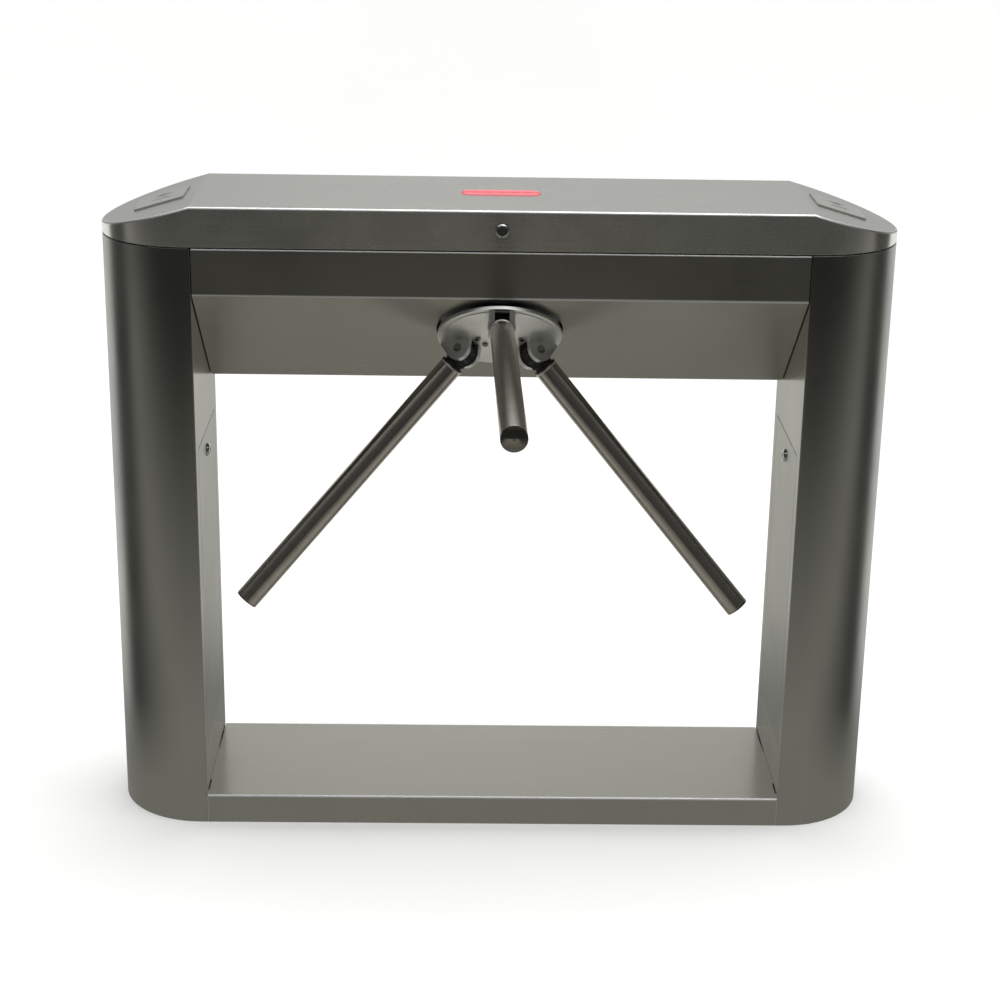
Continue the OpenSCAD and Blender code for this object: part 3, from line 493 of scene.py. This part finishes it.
# lock heads: domed rims round a flat face
lock_low, lock_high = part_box("lid_lock_body")
lock_z = (lock_low.z + lock_high.z) / 2
bm = merged("lid_lock_body")
soften(
    bm,
    4.0 * MM,
    lambda p, e: near(p.y, lock_low.y) and hypot(p.x, p.z - lock_z) > lock_face,
    segments=6,
)
finished("lid_lock_head", bm, chrome, "lid_panel", "lid_lock_body", slot="lock_chrome")
for side, sign in (("left", -1), ("right", 1)):
    low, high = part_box(side + "_door_lock_body")
    face = high.x if sign < 0 else low.x
    middle = (low.z + high.z) / 2
    bm = merged(side + "_door_lock_body")
    soften(
        bm,
        3.5 * MM,
        lambda p, e: near(p.x, face) and hypot(p.y, p.z - middle) > lock_face,
        segments=5,
    )
    finished(
        side + "_door_lock_head",
        bm,
        chrome,
        side + "_door_panel",
        side + "_door_lock_body",
        slot="lock_chrome",
    )

for k in (1, 2, 3):
    bm = merged(f"arm_{k}_tube")
    soften(bm, 0.9 * MM, least=50, segments=3)
    finished(f"arm_{k}_barrel", bm, steel_tube, f"arm_{k}", f"arm_{k}_tube", slot="arm_steel")
    bm = merged(f"arm_{k}_knuckle")
    soften(bm, 0.7 * MM, least=50, segments=2)
    finished(f"arm_{k}_root", bm, black_oxide, f"arm_{k}", f"arm_{k}_knuckle", slot="knuckle_black")


# ---------- beads at the roots of the arms, in the lighter steel of the painted bend highlight ---

# Frames of the hub and the arms, as the CAD turns them
panel_slope = atan2(strip_z - beam_z, panel_y + half_depth)
hub_y = -half_depth + hub_drop * cos(panel_slope)
hub_place = (0, hub_y, strip_z - hub_drop * sin(panel_slope))
at_hub = Matrix.Translation(hub_place) @ Matrix.Rotation(pi - panel_slope, 4, "X")
bead_r, bead_ring = 1.2 * MM, 17.7 * MM  # of the bead's section, and of the ring it makes
bead_place = 29.5 * MM  # from the pivot pin along the arm
for k, turn in ((1, 0), (2, 120), (3, -120)):
    at_arm = (
        at_hub
        @ Matrix.Rotation(radians(-rest_turn - turn), 4, "Z")
        @ Matrix.Translation((0, pin_radius, pin_height))
        @ Matrix.Rotation(radians(-arm_lean), 4, "X")
    )
    bm = bmesh.new()
    bmesh.ops.create_circle(bm, segments=12, radius=bead_r)
    bmesh.ops.rotate(bm, matrix=Matrix.Rotation(pi / 2, 3, "X"), verts=bm.verts)
    bmesh.ops.translate(bm, vec=(bead_ring, 0, bead_place), verts=bm.verts)
    bmesh.ops.spin(
        bm,
        geom=bm.verts[:] + bm.edges[:],
        axis=(0, 0, 1),
        cent=(0, 0, 0),
        angle=2 * pi,
        steps=64,
        use_merge=True,
    )
    bmesh.ops.remove_doubles(bm, verts=bm.verts, dist=0.00001)
    bmesh.ops.recalc_face_normals(bm, faces=bm.faces)
    bmesh.ops.transform(bm, matrix=at_arm, verts=bm.verts)
    arm = f"arm_{k}"
    # painted highlight: the bead uses the lighter bend steel so it shows as a bright line
    finished(
        arm + "_bead", bm, steel_bend_painted_highlight, arm, slot="cap_steel", smooth=180, weighted=False
    )


# ---------- reader marks ----------


def tablet(width, height, corner, thick, hole=0.0):
    """A flat rounded rectangle on Z = 0, or only its rim, as a bmesh."""
    bm = bmesh.new()
    bmesh.ops.create_grid(bm, x_segments=1, y_segments=1, size=0.5)
    bmesh.ops.scale(bm, vec=(width, height, 1), verts=bm.verts)
    bmesh.ops.bevel(
        bm,
        geom=bm.verts[:],
        offset=corner,
        offset_type="OFFSET",
        affect="VERTICES",
        segments=6,
        profile=0.5,
        material=-1,
    )
    if hole:
        inner = bmesh.ops.inset_region(bm, faces=bm.faces[:], thickness=hole, use_even_offset=True)
        middle = [f for f in bm.faces if f not in inner["faces"]]
        bmesh.ops.delete(bm, geom=middle, context="FACES")
    risen = bmesh.ops.extrude_face_region(bm, geom=bm.faces[:])
    tops = [v for v in risen["geom"] if isinstance(v, bmesh.types.BMVert)]
    bmesh.ops.translate(bm, vec=(0, 0, thick), verts=tops)
    bmesh.ops.recalc_face_normals(bm, faces=bm.faces)
    return bm


def wave(radius, width, spread, thick):
    """A flat arc, one of the radio waves beside the card mark."""
    bm = bmesh.new()
    start = radians(-spread / 2)
    ends = [bm.verts.new((r * cos(start), r * sin(start), 0)) for r in (radius, radius + width)]
    edge = bm.edges.new(ends)
    bmesh.ops.spin(
        bm, geom=[edge, *ends], axis=(0, 0, 1), cent=(0, 0, 0), angle=radians(spread), steps=10
    )
    risen = bmesh.ops.extrude_face_region(bm, geom=bm.faces[:])
    tops = [v for v in risen["geom"] if isinstance(v, bmesh.types.BMVert)]
    bmesh.ops.translate(bm, vec=(0, 0, thick), verts=tops)
    bmesh.ops.recalc_face_normals(bm, faces=bm.faces)
    return bm


def join(into, other, turn):
    """Adds a turned copy of one bmesh to another."""
    bmesh.ops.transform(other, matrix=turn, verts=other.verts)
    mesh = bpy.data.meshes.new("part")
    other.to_mesh(mesh)
    other.free()
    into.from_mesh(mesh)
    bpy.data.meshes.remove(mesh)


lid_slope = atan2(lid_fall, half_length - inner_x)
ink = 0.15 * MM  # thickness of the print
for side, sign in (("left", -1), ("right", 1)):
    low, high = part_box(side + "_window")
    plate_x = sign * (inner_x + half_length - window_shift) / 2
    plate_z = top_z - (abs(plate_x) - inner_x) * lid_fall / (half_length - inner_x)
    slope = Matrix.Translation((plate_x, (low.y + high.y) / 2, plate_z)) @ Matrix.Rotation(
        sign * lid_slope, 4, "Y"
    )
    face = Matrix.Translation((0, 0, 2.5 * MM))
    wide, long = 77 * MM, high.y - low.y - 9 * MM
    marks = tablet(wide - 14 * MM, long - 14 * MM, 8 * MM, ink, hole=3 * MM)
    card = tablet(34 * MM, 24 * MM, 3 * MM, ink, hole=2 * MM)
    join(marks, card, Matrix.Translation((0, -14 * MM, 0)))
    stripe = tablet(26 * MM, 4 * MM, 0.4 * MM, ink)
    join(marks, stripe, Matrix.Translation((0, -10 * MM, 0)))
    for k in (1, 2, 3):
        turn = Matrix.Translation((0, 4 * MM, 0)) @ Matrix.Rotation(pi / 2, 4, "Z")
        join(marks, wave(6 * MM * k, 2 * MM, 80, ink), turn)
    bmesh.ops.transform(marks, matrix=slope @ face, verts=marks.verts)
    name = side + "_reader_mark"
    finished(name, marks, print_ink, "lid_panel", slot="window_acrylic", weighted=False)


# ---------- studio ----------

scene = bpy.context.scene
camera_data = bpy.data.cameras.new("camera")
camera = bpy.data.objects.new("camera", camera_data)
scene.collection.objects.link(camera)
scene.camera = camera
yaw, pitch, roll = 0.0200, -0.3347, 0.0165  # radians
ahead = Vector((sin(yaw) * cos(pitch), cos(yaw) * cos(pitch), sin(pitch)))
level = Vector((cos(yaw), -sin(yaw), 0))
upward = level.cross(ahead)
right = cos(roll) * level + sin(roll) * upward
over = -sin(roll) * level + cos(roll) * upward
camera.matrix_world = Matrix.Translation((-0.05754, -3.16765, 1.60278)) @ Matrix(
    (right, over, -ahead)
).transposed().to_4x4()
camera_data.sensor_width = 36
camera_data.lens = 76.35
camera_data.clip_end = 100


def floor_material():
    """Pale matt studio floor."""
    material, tree, shader = new_material("pale studio floor")
    place = add(tree, "ShaderNodeTexCoord").outputs["Object"]
    mottle = add(tree, "ShaderNodeTexNoise", {"Vector": place, "Scale": 3.0, "Detail": 4.0})
    colour = add(
        tree,
        "ShaderNodeMix",
        {0: mottle.outputs["Fac"], 6: hex_colour("fbfbfa"), 7: hex_colour("fdfdfc")},
        data_type="RGBA",
    )
    tree.links.new(colour.outputs[2], shader.inputs["Base Color"])
    shader.inputs["Roughness"].default_value = 0.7
    shader.inputs["Specular IOR Level"].default_value = 0.2
    return material


def flat_panel(name, z, material, reach=30):
    """A level square round the origin that belongs to the studio."""
    bm = bmesh.new()
    bmesh.ops.create_grid(bm, x_segments=1, y_segments=1, size=reach)
    bmesh.ops.translate(bm, vec=(0, 0, z), verts=bm.verts)
    mesh = bpy.data.meshes.new(name)
    bm.to_mesh(mesh)
    bm.free()
    mesh.materials.append(material)
    panel = bpy.data.objects.new(name, mesh)
    scene.collection.objects.link(panel)
    panel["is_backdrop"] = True
    return panel


def reflection_card_material():
    """Glowing card that only the steel sees, a painted reflection of the studio: mid grey round the
    feet, near black further off in front, pale behind and beside."""
    material = bpy.data.materials.new("painted reflection card")
    material.use_nodes = True
    tree = material.node_tree
    tree.nodes.clear()
    place = add(tree, "ShaderNodeTexCoord").outputs["Object"]
    axis = add(tree, "ShaderNodeSeparateXYZ", {0: place})
    ramp = add(tree, "ShaderNodeMapRange", {"Value": axis.outputs[1], 1: -3.0, 2: 3.0})
    tones = add(tree, "ShaderNodeValToRGB", {0: ramp.outputs[0]})
    # tone at each distance in metres behind the middle of the cabinet
    stops = [
        (-3.0, 0.03),
        (-2.7, 0.045),
        (-2.3, 0.07),
        (-1.5, 0.17),
        (-0.5, 0.34),
        (0.35, 0.31),
        (0.8, 0.62),
        (1.6, 0.66),
        (2.6, 0.72),
    ]
    ends = tones.color_ramp.elements
    while len(ends) < len(stops):
        ends.new(0.5)
    for end, (y, tone) in zip(ends, stops):
        end.position = (y + 3) / 6  # the ramp runs from -3 m to 3 m
        end.color = (tone, tone, tone * 0.94, 1)
    out = add(tree, "ShaderNodeMath", {0: axis.outputs[0]}, operation="ABSOLUTE")
    # beside the columns the painted reflection is dark, and pale only where it lies well behind them
    behind_column = add(
        tree,
        "ShaderNodeMath",
        {0: out.outputs[0], 1: -0.675, 2: axis.outputs[1]},
        operation="MULTIPLY_ADD",
    )
    share = add(
        tree,
        "ShaderNodeMapRange",
        {"Value": behind_column.outputs[0], 1: -0.68, 2: -0.4},
        interpolation_type="SMOOTHSTEP",
    )
    pale = add(
        tree, "ShaderNodeMapRange", {"Value": axis.outputs[1], 1: 0.05, 2: 0.45, 3: 0.34, 4: 0.88}
    )
    side_tone = add(
        tree,
        "ShaderNodeMix",
        {0: share.outputs[0], 6: (0.055, 0.055, 0.052, 1), 7: pale.outputs[0]},
        data_type="RGBA",
    )
    far = add(tree, "ShaderNodeMapRange", {"Value": out.outputs[0], 1: 0.65, 2: 1.0})
    rear = add(tree, "ShaderNodeMapRange", {"Value": axis.outputs[1], 1: -0.6, 2: 0.0})
    corner = add(tree, "ShaderNodeMath", {0: far.outputs[0], 1: rear.outputs[0]}, operation="MULTIPLY")
    tone = add(
        tree,
        "ShaderNodeMix",
        {0: corner.outputs[0], 6: tones.outputs[0], 7: side_tone.outputs[2]},
        data_type="RGBA",
    )
    # a warm painted reflection patch far in front of the middle
    near_middle = add(
        tree,
        "ShaderNodeMapRange",
        {"Value": out.outputs[0], 1: 0.3, 2: 0.6, 3: 1.0, 4: 0.0},
        interpolation_type="SMOOTHSTEP",
    )
    ahead = add(tree, "ShaderNodeMapRange", {"Value": axis.outputs[1], 1: -1.6, 2: -2.4})
    edge = add(tree, "ShaderNodeMapRange", {"Value": axis.outputs[1], 1: -2.9, 2: -2.86})
    length = add(
        tree, "ShaderNodeMath", {0: edge.outputs[0], 1: ahead.outputs[0]}, operation="MULTIPLY"
    )
    patch = add(
        tree, "ShaderNodeMath", {0: near_middle.outputs[0], 1: length.outputs[0]}, operation="MULTIPLY"
    )
    warm = add(
        tree,
        "ShaderNodeVectorMath",
        {0: (0.2, 0.185, 0.15), "Scale": patch.outputs[0]},
        operation="SCALE",
    )
    tone = add(
        tree, "ShaderNodeVectorMath", {0: tone.outputs[2], 1: warm.outputs[0]}, operation="ADD"
    )
    light = add(tree, "ShaderNodeEmission", {"Color": tone.outputs[0], "Strength": 1.0})
    add(tree, "ShaderNodeOutputMaterial", {"Surface": light.outputs[0]})
    return material


ground = flat_panel("studio_floor", -0.2 * MM, floor_material())
ground.visible_glossy = False
# painted reflection: a glowing card seen only in the steel, standing for the floor and room it
# reflects
reflection_card = flat_panel("painted_reflection_card", -0.1 * MM, reflection_card_material())
reflection_card.visible_camera = False
reflection_card.visible_diffuse = False
reflection_card.visible_shadow = False
reflection_card.visible_transmission = False

world = bpy.data.worlds.new("studio")
scene.world = world
world.use_nodes = True
sky = world.node_tree
sky.nodes.clear()
toward = add(sky, "ShaderNodeTexCoord").outputs["Generated"]
part = add(sky, "ShaderNodeSeparateXYZ", {0: toward})
behind = add(
    sky,
    "ShaderNodeMapRange",
    {"Value": part.outputs[1], 1: 0.4, 2: 0.75, 3: 0.06, 4: 0.68},
    interpolation_type="SMOOTHSTEP",
)
above = add(
    sky,
    "ShaderNodeMapRange",
    {"Value": part.outputs[2], 1: 0.45, 2: 0.85, 3: 0.0, 4: 0.85},
    interpolation_type="SMOOTHSTEP",
)
room = add(sky, "ShaderNodeMath", {0: behind.outputs[0], 1: above.outputs[0]}, operation="MAXIMUM")
reflected = add(sky, "ShaderNodeBackground", {"Color": room.outputs[0], "Strength": 1.0})
plain = add(sky, "ShaderNodeBackground", {"Color": (1, 1, 1, 1), "Strength": 1.06})
path = add(sky, "ShaderNodeLightPath")
either = add(
    sky,
    "ShaderNodeMath",
    {0: path.outputs["Is Camera Ray"], 1: path.outputs["Is Diffuse Ray"]},
    operation="MAXIMUM",
)
both = add(
    sky, "ShaderNodeMixShader", {0: either.outputs[0], 1: reflected.outputs[0], 2: plain.outputs[0]}
)
add(sky, "ShaderNodeOutputWorld", {"Surface": both.outputs[0]})


def softbox(name, place, target, size, watts):
    """A large square area light."""
    data = bpy.data.lights.new(name, "AREA")
    data.shape = "RECTANGLE"
    data.size, data.size_y = size
    data.energy = watts
    lamp = bpy.data.objects.new(name, data)
    lamp.matrix_world = Matrix.Translation(place) @ (Vector(target) - Vector(place)).to_track_quat(
        "-Z", "Y"
    ).to_matrix().to_4x4()
    scene.collection.objects.link(lamp)
    return lamp


softbox("overhead softbox", (0.3, 0.4, 3.4), (0, 0, 0.6), (2.6, 1.6), 40)

scene.view_settings.view_transform = "Standard"

low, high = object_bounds()
